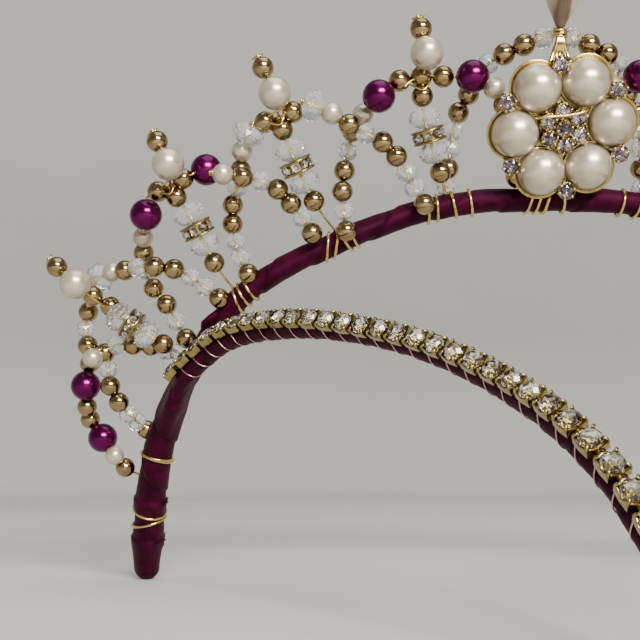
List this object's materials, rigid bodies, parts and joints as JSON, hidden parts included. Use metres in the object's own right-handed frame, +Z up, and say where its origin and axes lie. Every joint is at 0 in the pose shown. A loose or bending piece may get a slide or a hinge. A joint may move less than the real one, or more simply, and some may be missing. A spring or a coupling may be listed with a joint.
{
  "type": "ballet headpiece",
  "caption": "Beaded crown headpiece: two ribbon-wrapped bands that share their legs, with a pointed front band of cut stones, beaded spikes, a pearl brooch and a teardrop pearl",
  "frame": {"origin": "Centre of the footprint, on the surface that the leg tips and the front band's peak rest on", "axes": "X runs across the headpiece from leg to leg, Y from the front band's peak back to the legs, Z up"},
  "size_m": [0.1902, 0.1222, 0.114],
  "materials": {
    "plum_ribbon": "satin",
    "gold_bead": "polished",
    "cream_pearl": "pearlescent",
    "purple_pearl": "pearlescent",
    "clear_stone": "cut and polished"
  },
  "bodies": {
    "root": {"brooch": "cream_pearl", "end_string_left": "gold_bead", "end_string_right": "gold_bead", "front_band": "plum_ribbon", "inner_string_1_left": "gold_bead", "inner_string_1_right": "gold_bead", "inner_string_2_left": "gold_bead", "inner_string_2_right": "gold_bead", "inner_string_3_left": "gold_bead", "inner_string_3_right": "gold_bead", "inner_string_4_left": "gold_bead", "inner_string_4_right": "gold_bead", "leg_string_left": "gold_bead", "leg_string_right": "gold_bead", "outer_string_0_left": "gold_bead", "outer_string_0_right": "gold_bead", "outer_string_1_left": "gold_bead", "outer_string_1_right": "gold_bead", "outer_string_2_left": "gold_bead", "outer_string_2_right": "gold_bead", "outer_string_3_left": "gold_bead", "outer_string_3_right": "gold_bead", "peak_stone": "clear_stone", "purple_bead_left_1": "purple_pearl", "purple_bead_left_2": "purple_pearl", "purple_bead_left_3": "purple_pearl", "purple_bead_left_4": "purple_pearl", "purple_bead_right_1": "purple_pearl", "purple_bead_right_2": "purple_pearl", "purple_bead_right_3": "purple_pearl", "purple_bead_right_4": "purple_pearl", "spike_drop_left_1": "gold_bead", "spike_drop_left_2": "gold_bead", "spike_drop_left_3": "gold_bead", "spike_drop_left_4": "gold_bead", "spike_drop_right_1": "gold_bead", "spike_drop_right_2": "gold_bead", "spike_drop_right_3": "gold_bead", "spike_drop_right_4": "gold_bead", "spike_gold_left_1": "gold_bead", "spike_gold_left_2": "gold_bead", "spike_gold_left_3": "gold_bead", "spike_gold_left_4": "gold_bead", "spike_gold_right_1": "gold_bead", "spike_gold_right_2": "gold_bead", "spike_gold_right_3": "gold_bead", "spike_gold_right_4": "gold_bead", "spike_pearl_left_1": "cream_pearl", "spike_pearl_left_2": "cream_pearl", "spike_pearl_left_3": "cream_pearl", "spike_pearl_left_4": "cream_pearl", "spike_pearl_right_1": "cream_pearl", "spike_pearl_right_2": "cream_pearl", "spike_pearl_right_3": "cream_pearl", "spike_pearl_right_4": "cream_pearl", "stone_chain_left": "clear_stone", "stone_chain_right": "clear_stone", "teardrop_pearl": "cream_pearl", "tiara_band": "plum_ribbon"}
  },
  "joints": []
}
